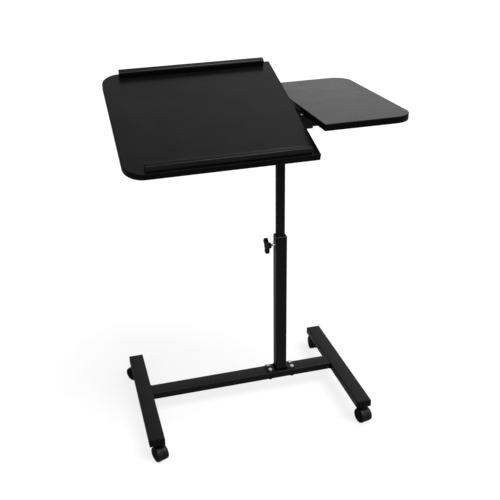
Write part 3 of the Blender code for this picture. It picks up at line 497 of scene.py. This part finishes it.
def makeOuterFoot():
    (length, width), high = outerColumn["foot"], outerColumn["footHigh"]
    bm = startBlock((-length / 2, -width / 2, outerColumn["footLow"]), (length / 2, width / 2, high))
    roundEdges(bm, edgesAlong(bm, 2), outerColumn["footCorner"], 6, 0)
    roundEdges(bm, sharpEdges(bm, 60), outerColumn["footEase"], 2, 0)
    finishPiece(bm, "outerColumnFoot", "base", "powderBlack", (), columnPlace)


footWeld = {"size": 0.0034, "sunk": 0.0002, "roundShare": 0.92, "wear": 0.4, "cuts": 14,
            "wave": 0.00012, "waves": (3300, 900)}


def makeFootWeld():
    # a weld run round the foot of the tube, coloured near black as painted shade in the crease at the foot
    size, foot = footWeld["size"], outerColumn["footHigh"]
    reach = outerColumn["half"] + size
    bm = startBlock((-reach, -reach, foot - footWeld["sunk"]), (reach, reach, foot + size))
    roundEdges(bm, edgesAlong(bm, 2), outerColumn["round"] + size, 7, 0)
    upper = sharpEdges(bm, 60, lambda m: m.z > foot + size / 2)
    roundEdges(bm, upper, size * footWeld["roundShare"], 4, footWeld["wear"])
    long = [edge for edge in bm.edges if edge.calc_length() > outerColumn["half"] / 2]
    bmesh.ops.subdivide_edges(bm, edges=long, cuts=footWeld["cuts"], use_grid_fill=True)
    around, up = footWeld["waves"]
    for vert in bm.verts:
        run = (vert.co.x + vert.co.y) * around + vert.co.z * up
        vert.co.z += footWeld["wave"] * math.sin(run)
    finishPiece(bm, "outerColumnWeld", "base", "weldBlack", (), columnPlace, 60)


makeOuterTube()
makeOuterFoot()
makeFootWeld()

beamWeld = {"size": 0.0032, "short": 0.002, "roundShare": 0.98, "wear": 0.4, "cuts": 16,
            "wave": 0.00012, "waves": 5200}


def makeBeamWeld(name, legNode, way):
    # two upright fillets in the corners between the beam and a leg
    low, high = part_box("cross_beam")
    legLow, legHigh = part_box(legNode)
    size, short = beamWeld["size"], beamWeld["short"]
    face = legHigh.x if way > 0 else legLow.x
    bm = startEmpty()
    for y, out in ((low.y, -1), (high.y, 1)):
        tipX, tipY = face + way * size, y + out * size
        xs, ys = sorted((face, tipX)), sorted((y, tipY))
        addBlock(bm, (xs[0], ys[0], low.z + short), (xs[1], ys[1], high.z - short))
        proud = edgesAlong(bm, 2, lambda m: abs(m.x - tipX) + abs(m.y - tipY) < onPlane)
        roundEdges(bm, proud, size * beamWeld["roundShare"], 4, beamWeld["wear"])
    bmesh.ops.subdivide_edges(bm, edges=edgesAlong(bm, 2), cuts=beamWeld["cuts"], use_grid_fill=True)
    for vert in bm.verts:
        vert.co.x += way * beamWeld["wave"] * math.sin(vert.co.z * beamWeld["waves"])
    finishPiece(bm, name, "base", "dullBlack", (), None, 60)


makeBeamWeld("beamWeldLeft", "left_leg", 1)
makeBeamWeld("beamWeldRight", "right_leg", -1)

plug = {"round": 0.0021, "dome": 0.0010, "cap": 0.0026, "neck": 0.011, "wall": 0.0018,
        "sunk": 0.0002, "ease": 0.0008}


def makePlug(side, end):
    node = f"{side}_leg_{end}_plug"
    low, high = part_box(node)
    way = 1 if end == "front" else -1  # from the cap into the leg
    outer = low.y if end == "front" else high.y
    inner = outer + way * plug["cap"]
    ys = sorted((outer, inner))
    bm = startBlock((low.x, ys[0], low.z), (high.x, ys[1], high.z))
    roundEdges(bm, edgesAlong(bm, 1), plug["round"], 6, 0)
    roundEdges(bm, sharpEdges(bm, 60, lambda m: abs(m.y - outer) < onPlane), plug["dome"], 4, 0)
    ys = sorted((inner - way * plug["sunk"], inner + way * plug["neck"]))
    wall = plug["wall"]
    neck = addBlock(bm, (low.x + wall, ys[0], low.z + wall), (high.x - wall, ys[1], high.z - wall))
    roundEdges(bm, list({edge for vert in neck for edge in vert.link_edges}), plug["ease"], 2)
    finishPiece(bm, f"{side}Leg{end.title()}Cap", "base", "capBlack", [node])


for side in ("left", "right"):
    for end in ("front", "rear"):
        makePlug(side, end)
print("base frame and column made")

smallThread = {"radius": 0.003, "tooth": 0.00055, "pitch": 0.001, "crest": (0.45, 0.55), "steps": 16}
columnBolt = {"across": 0.010, "head": 0.004, "ease": 0.0007, "shank": 0.0028, "threaded": 0.0115,
              "sunk": 0.001, "overlap": 0.002, "tipGap": 0.0002, "bore": 0.0032, "steps": 24,
              "crown": (0.0034, 0.0040), "crownHigh": 0.0002, "crownFall": 0.0001, "crownLow": 0.0006}


def makeColumnBolt(index):
    low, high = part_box(f"column_bolt_{index}")
    centre = Vector(((low.x + high.x) / 2, (low.y + high.y) / 2, 0))
    seat, sunk, steps = high.z - columnBolt["head"], columnBolt["sunk"], columnBolt["steps"]
    bm = startEmpty()
    addHex(bm, columnBolt["across"], seat, high.z, centre, ease=columnBolt["ease"])
    # raised round of the forged head, and the shank's thread below the beam
    flat, brim = columnBolt["crown"]
    crest, foot = high.z + columnBolt["crownHigh"], high.z - columnBolt["crownLow"]
    fall = crest - columnBolt["crownFall"]
    lathe(bm, [(0, crest), (flat, fall), (brim, foot), (0, foot)], steps, centre)
    threaded, shank = low.z + columnBolt["threaded"], columnBolt["shank"]
    neck, end = seat + sunk, threaded - columnBolt["overlap"]
    lathe(bm, [(0, neck), (shank, neck), (shank, end), (0, end)], steps, centre)
    addThread(bm, smallThread, low.z + columnBolt["tipGap"], threaded, centre)
    # the thread below the beam takes a dark finish, painted shade under the beam; the head stays zinc
    for face in bm.faces:
        face.material_index = 1 if face.calc_center_median().z < seat - sunk else 0
    finishPiece(bm, f"columnBolt{index}", "base", ["zincBright", "nutBlack"], [f"column_bolt_{index}"])
    low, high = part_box(f"column_nut_{index}")
    bm = startEmpty()
    addNut(bm, columnBolt, low.z, high.z, centre)
    finishPiece(bm, f"columnNut{index}", "base", "nutBlack", [f"column_nut_{index}"])


for index in range(1, 5):
    makeColumnBolt(index)

# the pan head's outline, from socket to seat, in shares of the head's radius and height
panHead = {"dome": ((0.5, 1), (0.82, 0.92), (1, 0.45), (1, 0)), "socket": 0.45, "floor": 0.35,
           "ease": 0.0003, "steps": 30}
armBolt = {"radius": 0.0031, "height": 0.003, "shank": 0.0025}
woodScrew = {"radius": 0.004, "height": 0.0025, "shank": 0.002}


def makeScrew(name, node, body, spec, seat, tip, centre, axis, place=None):
    # a domed head with a round socket on its seat, the shank going to tip
    radius, height, shank = spec["radius"], spec["height"], spec["shank"]
    floor = seat + height * panHead["floor"]
    head = [(radius * out, seat + height * up) for out, up in panHead["dome"]]
    outline = [(radius * panHead["socket"], floor), *head, (shank, seat), (shank, tip), (0, tip)]
    profile = softProfile(outline, panHead["ease"])
    bm = startEmpty()
    lathe(bm, [(0, floor)] + profile, panHead["steps"], centre, axis)
    finishPiece(bm, name, body, "zincBright", [node], place)


for index in (1, 2):
    low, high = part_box(f"side_arm_bolt_{index}")
    centre = ((low.x + high.x) / 2, 0, (low.z + high.z) / 2)
    makeScrew(f"sideArmBolt{index}", f"side_arm_bolt_{index}", "upper",
              armBolt, -low.y - armBolt["height"], -high.y, centre, (0, -1, 0))
    low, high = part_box(f"side_board_screw_{index}")
    centre = ((low.x + high.x) / 2, (low.y + high.y) / 2, 0)
    makeScrew(f"sideBoardScrew{index}", f"side_board_screw_{index}", "upper",
              woodScrew, -low.z - woodScrew["height"], -high.z, centre, (0, 0, -1))
print("fixings made")

saddle = {"right": -0.070, "left": -0.270, "length": 0.036, "half": 0.0173, "ear": 0.0303, "top": 0.0297,
          "flange": 0.006, "ease": 0.0008, "rib": 0.002, "ribDrop": 0.010, "ribInset": 0.004,
          "ribRoot": 0.0015, "ribTip": 0.003, "ribSunk": 0.0005,
          "screwY": 0.0238, "screwSeat": 0.0234, "screwTip": 0.0355}
tiltTube = {"radius": 0.011, "wall": 0.0015, "flangeRadius": 0.015, "flange": 0.003, "ease": 0.0006,
            "steps": 48}
foldedEase = 0.0004  # edges of the folded head and arm


def makeTiltTube():
    low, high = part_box("tilt_tube")
    centre = (0, (low.y + high.y) / 2, (low.z + high.z) / 2)
    shoulder = low.x + tiltTube["flange"]
    radius, wide = tiltTube["radius"], tiltTube["flangeRadius"]
    inside = radius - tiltTube["wall"]
    profile = softProfile(
        [(0, low.x), (wide, low.x), (wide, shoulder), (radius, shoulder),
         (radius, high.x), (inside, high.x), (inside, shoulder), (0, shoulder)], tiltTube["ease"])
    bm = startEmpty()
    lathe(bm, profile, tiltTube["steps"], centre, (1, 0, 0))
    finishPiece(bm, "tiltTubeTurned", "upper", "powderBlack", ["tilt_tube"])


def makeSaddle(side):
    node = f"{side}_saddle"
    bm = copyNode(node)
    bmesh.ops.transform(bm, matrix=tiltPlace.inverted(), verts=bm.verts)
    roundEdges(bm, sharpEdges(bm, 60), saddle["ease"], 3)
    # a gusset at each end of both ears, tapered down the block
    under = saddle["top"] - saddle["flange"]
    for end in (-1, 1):
        for out in (-1, 1):
            x = saddle[side] + end * (saddle["length"] / 2 - saddle["ribInset"])
            inner = out * (saddle["half"] - saddle["ribRoot"])
            ys = sorted((inner, out * (saddle["ear"] - saddle["ribTip"])))
            verts = addBlock(bm, (x - saddle["rib"] / 2, ys[0], under - saddle["ribDrop"]),
                             (x + saddle["rib"] / 2, ys[1], under + saddle["ribSunk"]))
            middle = under - saddle["ribDrop"] / 2
            low = [v for v in verts if v.co.z < middle and abs(v.co.y) > saddle["half"]]
            for vert in low:
                vert.co.y = inner
    finishPiece(bm, f"{side}SaddleMoulded", "main_top", "plasticBlack", [node], tiltPlace)


makeTiltTube()
makeSaddle("right")
makeSaddle("left")
for index in range(1, 5):
    centre = (saddle["right" if index < 3 else "left"], saddle["screwY"] * (-1 if index % 2 else 1), 0)
    makeScrew(f"saddleScrew{index}", f"saddle_screw_{index}", "main_top",
              woodScrew, -saddle["screwSeat"], -saddle["screwTip"], centre, (0, 0, -1), tiltPlace)
refineNode("column_head", "columnHeadFolded", "upper", "powderBlack", foldedEase)
refineNode("side_arm", "sideArmFolded", "upper", "powderBlack", foldedEase)
print("tilt gear made")

clampPlace = Matrix.Translation(jointAt["clamp_turn"])
knob = {"arms": 3, "radius": 0.021, "arm": 0.014, "thick": 0.0105, "endRound": 0.0025, "valley": 0.004,
        "ease": 0.0014, "dish": 0.0005, "dishDepth": 0.0004, "leastFace": 1e-4, "turn": -55}
knobHub = {"face": -0.0098, "length": 0.005, "radius": 0.0075, "bore": 0.0031, "dish": 0.0002,
           "chamfer": (0.0008, 0.0012), "flare": 0.0006, "sunk": 0.001, "ease": 0.0004, "steps": 36}
# the dome's points are shares of the core's radius and of the dome's height
knobCore = {"radius": 0.0098, "dome": 0.0022, "points": ((0, 1), (0.45, 0.85), (0.82, 0.35)),
            "shoulder": 0.0008, "sunk": 0.0006, "ease": 0.0006, "steps": 48}
knobInner = knobHub["face"] - knobHub["length"]


def addKnobArms(bm):
    half = knob["arm"] / 2
    step = 2 * math.pi / knob["arms"]
    valley = half / math.sin(step / 2)
    midway = (valley + knob["radius"]) / 2
    corners = []
    for arm in range(knob["arms"]):
        turn = Matrix.Rotation(arm * step, 3, "X")
        corners += [turn @ Vector((0, side, knob["radius"])) for side in (half, -half)]
        corners.append(Matrix.Rotation((arm + 0.5) * step, 3, "X") @ Vector((0, 0, valley)))
    face = bm.faces.new([bm.verts.new(corner + Vector((knobInner, 0, 0))) for corner in corners])
    grown = bmesh.ops.extrude_face_region(bm, geom=[face], use_keep_orig=True)["geom"]
    moved = [item for item in grown if isinstance(item, bmesh.types.BMVert)]
    bmesh.ops.translate(bm, vec=(-knob["thick"], 0, 0), verts=moved)
    bmesh.ops.recalc_face_normals(bm, faces=bm.faces)
    roundEdges(bm, edgesAlong(bm, 0, lambda m: m.yz.length < midway), knob["valley"], 6, 0)
    roundEdges(bm, edgesAlong(bm, 0, lambda m: m.yz.length > midway), knob["endRound"], 5, 0)
    roundEdges(bm, sharpEdges(bm, 60), knob["ease"], 4)
    # shallow dish in the outer face
    dished = [face for face in bm.faces if face.normal.x < -facing and face.calc_area() > knob["leastFace"]]
    bmesh.ops.inset_individual(bm, faces=dished, thickness=knob["dish"], depth=0)
    bmesh.ops.inset_individual(bm, faces=dished, thickness=knob["dishDepth"], depth=-knob["dishDepth"])


def addKnobHub(bm):
    face, radius, end = knobHub["face"], knobHub["radius"], knobInner - knobHub["sunk"]
    inward, down = knobHub["chamfer"]
    hub = [(0, face - knobHub["dish"]), (knobHub["bore"], face), (radius - inward, face),
           (radius, face - down), (radius + knobHub["flare"], end), (0, end)]
    lathe(bm, softProfile(hub, knobHub["ease"]), knobHub["steps"], (0, 0, 0), (1, 0, 0))


def addKnobCore(bm):
    # a round core that fills the valleys, domed over the outer face
    radius, end, outer = knobCore["radius"], knobInner - knobCore["sunk"], knobInner - knob["thick"]
    core = [(radius * out, outer - knobCore["dome"] * up) for out, up in knobCore["points"]]
    core += [(radius, outer + knobCore["shoulder"]), (radius, end), (0, end)]
    lathe(bm, softProfile(core, knobCore["ease"]), knobCore["steps"], (0, 0, 0), (1, 0, 0))


def makeKnob():
    bm = startEmpty()
    addKnobArms(bm)
    addKnobHub(bm)
    addKnobCore(bm)
    turn = Matrix.Rotation(math.radians(knob["turn"]), 3, "X")
    bmesh.ops.rotate(bm, cent=(0, 0, 0), matrix=turn, verts=bm.verts)
    finishPiece(bm, "clampKnobMoulded", "clamp_grip", "plasticBlack", ["clamp_knob"], clampPlace)


clampNut = {"across": 0.010, "from": -0.0043, "to": -0.0003, "ease": 0.0006, "bore": 0.0032}
clampScrew = {"tipGap": 0.0004}


def makeClampScrew():
    low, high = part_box("clamp_screw")
    origin = jointAt["clamp_turn"].x
    bm = startEmpty()
    tip = high.x - origin - clampScrew["tipGap"]
    addThread(bm, smallThread, low.x - origin, tip, (0, 0, 0), (1, 0, 0))
    finishPiece(bm, "clampScrewThreaded", "clamp_grip", "zincBright", ["clamp_screw"], clampPlace)
    bm = startEmpty()
    addNut(bm, clampNut, clampNut["from"], clampNut["to"], (0, 0, 0), (1, 0, 0))
    finishPiece(bm, "clampNutHex", "base", "zincBright", ["clamp_nut"], clampPlace)


makeKnob()
makeClampScrew()
print("height clamp made")

caster = {"trail": 0.015, "radius": 0.020, "wheel": 0.0138, "blade": 0.003, "gap": 0.0005, "steps": 56,
          "bladeCad": 0.0185, "bladeSlack": 0.0004, "bladeRadius": 0.0198, "bladeLow": 0.0150,
          "notch": -0.40, "edge": 0.0003,
          "turns": {"front_left": 22, "front_right": 13, "rear_left": 217, "rear_right": 175}}
wheelFace = {"bore": 0.0028, "cap": 0.0018, "shoulder": 0.0022, "dome": 0.0006,
             "ring": 0.0128, "groove": 0.00035, "ease": 0.0005, "worn": 0.0004,
             "softShare": 0.3, "ringRise": 0.4, "crown": (0.6, 0.85), "flat": 0.3}
stem = {"radius": 0.004, "collar": 0.008, "collarTop": 0.0003, "collarFoot": 0.0023, "ease": 0.0004,
        "steps": 36}


def makeStem(place, name):
    low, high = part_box(f"{place}_caster_stem")
    centre = ((low.x + high.x) / 2, (low.y + high.y) / 2, 0)
    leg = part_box("left_leg")[0].z
    radius, collar = stem["radius"], stem["collar"]
    top, foot = leg - stem["collarTop"], leg - stem["collarFoot"]
    profile = softProfile(
        [(0, high.z), (radius, high.z), (radius, top), (collar, top), (collar, foot),
         (radius, foot), (radius, low.z), (0, low.z)], stem["ease"])
    bm = startEmpty()
    lathe(bm, profile, stem["steps"], centre)
    finishPiece(bm, f"{name}CasterStem", "base", "powderBlack", [f"{place}_caster_stem"])


def makeHood(place, name, swivel):
    # the blade between the wheels comes out nearly flush with their tread, and draws back near the floor
    node = f"{place}_caster_hood"
    bm = copyNode(node)
    bmesh.ops.transform(bm, matrix=swivel.inverted(), verts=bm.verts)
    axle = Vector((0, -caster["trail"], caster["radius"]))
    for vert in bm.verts:
        out = vert.co - axle
        out.x = 0
        onRim = abs(out.length - caster["bladeCad"]) < caster["bladeSlack"]
        if onRim and abs(vert.co.x) < caster["blade"]:
            low = out.z < caster["notch"] * out.length
            vert.co += out.normalized() * (caster["bladeLow" if low else "bladeRadius"] - out.length)
    roundEdges(bm, sharpEdges(bm, 45), caster["edge"], 2, 0)
    # the blade's rim shines like the treads beside it
    for face in bm.faces:
        out = face.calc_center_median() - axle
        rim = abs(out.x) < caster["blade"] and abs(out.yz.length - caster["bladeRadius"]) < caster["edge"] * 2
        face.material_index = 1 if rim else 0
    finishPiece(bm, f"{name}CasterHood", f"{place}_caster", ["hoodBlack", "wheelBlack"], [node], swivel)


def makeWheel(place, name, side, way, swivel):
    radius, inner = caster["radius"], caster["blade"] / 2 + caster["gap"]
    outer = inner + caster["wheel"]
    shoulder, dome, ring, groove = (wheelFace[key] for key in ("shoulder", "dome", "ring", "groove"))
    edge, ease = outer - dome, caster["edge"]
    soft, rise = shoulder * wheelFace["softShare"], edge + dome * wheelFace["ringRise"]
    bore, boreEnd = wheelFace["bore"], outer - wheelFace["cap"]
    crownOut, crownUp = wheelFace["crown"]
    profile = [
        (0, boreEnd), (bore, boreEnd), (bore, inner), (radius - ease, inner),
        (radius, inner + ease), (radius, edge - shoulder), (radius - soft, edge - soft),
        (radius - shoulder, edge), (ring + groove, rise), (ring, rise - groove),
        (ring - groove, rise), (ring * crownOut, edge + dome * crownUp),
        (ring * wheelFace["flat"], outer), (0, outer)]
    bm = startEmpty()
    lathe(bm, softProfile(profile, wheelFace["ease"]), caster["steps"], (0, 0, 0), (way, 0, 0))
    wear = bm.verts.layers.float["wear"]
    for vert in bm.verts:
        if vert.co.yz.length > radius - wheelFace["worn"]:
            vert[wear] = 1.0
    # the disc inside the tyre is duller than its tread
    for face in bm.faces:
        face.material_index = 1 if face.calc_center_median().yz.length < radius - shoulder else 0
    node = f"{place}_wheel_{side}"
    axle = swivel @ Matrix.Translation((0, -caster["trail"], radius))
    finishPiece(bm, f"{name}Wheel{side.title()}", node, ["wheelBlack", "hoodBlack"], [node], axle)


for place, degrees in caster["turns"].items():
    first, second = place.split("_")
    name = first + second.title()
    swivelAt = jointAt[f"{place}_swivel"]
    swivel = Matrix.Translation((swivelAt.x, swivelAt.y, 0)) @ Matrix.Rotation(math.radians(degrees), 4, "Z")
    makeStem(place, name)
    makeHood(place, name, swivel)
    makeWheel(place, name, "left", -1, swivel)
    makeWheel(place, name, "right", 1, swivel)
print("casters made")


def addShown(tree, share):
    # full to the camera and through glass, a share of it in reflections
    path = tree.nodes.new("ShaderNodeLightPath")
    seen = addMath(tree, "MAXIMUM", path.outputs["Is Camera Ray"], path.outputs["Is Transmission Ray"])
    mirrored = addMath(tree, "MULTIPLY", path.outputs["Is Glossy Ray"], share)
    return addMath(tree, "MAXIMUM", seen, mirrored)


floorLook = {"size": 30, "colour": (0.29, 0.29, 0.292), "glow": 0.76, "mirrored": 0.03}


def makeFloor():
    bpy.ops.mesh.primitive_plane_add(size=floorLook["size"], location=(0, 0, 0))
    floor = bpy.context.object
    floor.name = "paleFloor"
    material, tree, shader = newFinish("paleFloor")[:3]
    tree.nodes.remove(shader)
    diffuse = tree.nodes.new("ShaderNodeBsdfDiffuse")
    diffuse.inputs["Color"].default_value = (*floorLook["colour"], 1)
    # white in the picture, dim in reflections, and still shadowed
    glow = tree.nodes.new("ShaderNodeEmission")
    strength = addMath(tree, "MULTIPLY", addShown(tree, floorLook["mirrored"]), floorLook["glow"])
    tree.links.new(strength, glow.inputs["Strength"])
    both = tree.nodes.new("ShaderNodeAddShader")
    tree.links.new(diffuse.outputs[0], both.inputs[0])
    tree.links.new(glow.outputs[0], both.inputs[1])
    tree.links.new(both.outputs[0], tree.nodes["Material Output"].inputs["Surface"])
    floor.data.materials.append(material)


# brightness of the studio round the table: pale at the horizon, dimmer overhead, to the left and in front
studio = {"horizon": (0.0, 0.2, 1.0, 0.7), "height": (0.62, 0.95, 0.78, 0.32),
          "side": (-0.15, 0.36, 0.42, 1.0), "depth": (-0.5, 0.3, 0.2, 1.0), "mirrored": 0.2}


def makeWorld():
    world = bpy.data.worlds.new("studio")
    bpy.context.scene.world = world
    world.use_nodes = True
    tree = world.node_tree
    coords = tree.nodes.new("ShaderNodeTexCoord")
    split = tree.nodes.new("ShaderNodeSeparateXYZ")
    tree.links.new(coords.outputs["Generated"], split.inputs[0])
    horizon = addRange(tree, split.outputs["Z"], *studio["horizon"])
    height = addRange(tree, split.outputs["Z"], *studio["height"])
    side = addRange(tree, split.outputs["X"], *studio["side"])
    depth = addRange(tree, split.outputs["Y"], *studio["depth"])
    across = addMath(tree, "MULTIPLY", side, depth)
    room = addMath(tree, "MULTIPLY", addMath(tree, "MINIMUM", horizon, height), across)
    back = tree.nodes["Background"]
    back.inputs["Color"].default_value = (1, 1, 1, 1)
    shown = addShown(tree, studio["mirrored"])
    tree.links.new(addMath(tree, "MAXIMUM", room, shown), back.inputs["Strength"])


# one wide soft light, a little to the right and in front, and two weak low ones that reach under the boards
lamps = {"keyLight": {"towards": (0.33, -0.34, 1.0), "spread": 38, "strength": 2.25},
         "sideLight": {"towards": (0.85, -0.45, 0.35), "spread": 45, "strength": 0.7},
         "frontLight": {"towards": (-0.30, -0.80, 0.50), "spread": 40, "strength": 0.85}}


def makeLamp(name):
    spec = lamps[name]
    data = bpy.data.lights.new(name, "SUN")
    data.energy = spec["strength"]
    data.angle = math.radians(spec["spread"])
    lamp = bpy.data.objects.new(name, data)
    bpy.context.scene.collection.objects.link(lamp)
    lamp.rotation_euler = Vector(spec["towards"]).to_track_quat("Z", "Y").to_euler()


# the photograph's view, as fitted: focal length and middle in pixels, place from the column's axis
shot = {"frame": 500, "focal": 725.96, "from": (-0.5307, -1.62241, 1.27311), "yaw": 12.482, "pitch": 26.048,
        "roll": -2.339, "middle": (215.88, 251.32)}


def makeCamera():
    data = bpy.data.cameras.new("photoCamera")
    data.sensor_width = 36
    data.lens = shot["focal"] / shot["frame"] * data.sensor_width
    data.shift_x = 0.5 - shot["middle"][0] / shot["frame"]
    data.shift_y = shot["middle"][1] / shot["frame"] - 0.5
    camera = bpy.data.objects.new("photoCamera", data)
    bpy.context.scene.collection.objects.link(camera)
    yaw, pitch, roll = (math.radians(shot[name]) for name in ("yaw", "pitch", "roll"))
    ahead = Vector((math.sin(yaw) * math.cos(pitch), math.cos(yaw) * math.cos(pitch), -math.sin(pitch)))
    right = Vector((math.cos(yaw), -math.sin(yaw), 0))
    up = right.cross(ahead)
    rolledRight = right * math.cos(roll) + up * math.sin(roll)
    rolledUp = up * math.cos(roll) - right * math.sin(roll)
    turn = Matrix((rolledRight, rolledUp, -ahead)).transposed().to_4x4()
    camera.matrix_world = columnPlace @ Matrix.Translation(shot["from"]) @ turn
    bpy.context.scene.camera = camera


makeFloor()
makeWorld()
for name in lamps:
    makeLamp(name)
makeCamera()
bpy.context.scene.view_settings.view_transform = "Standard"
print("stage, light and camera made")
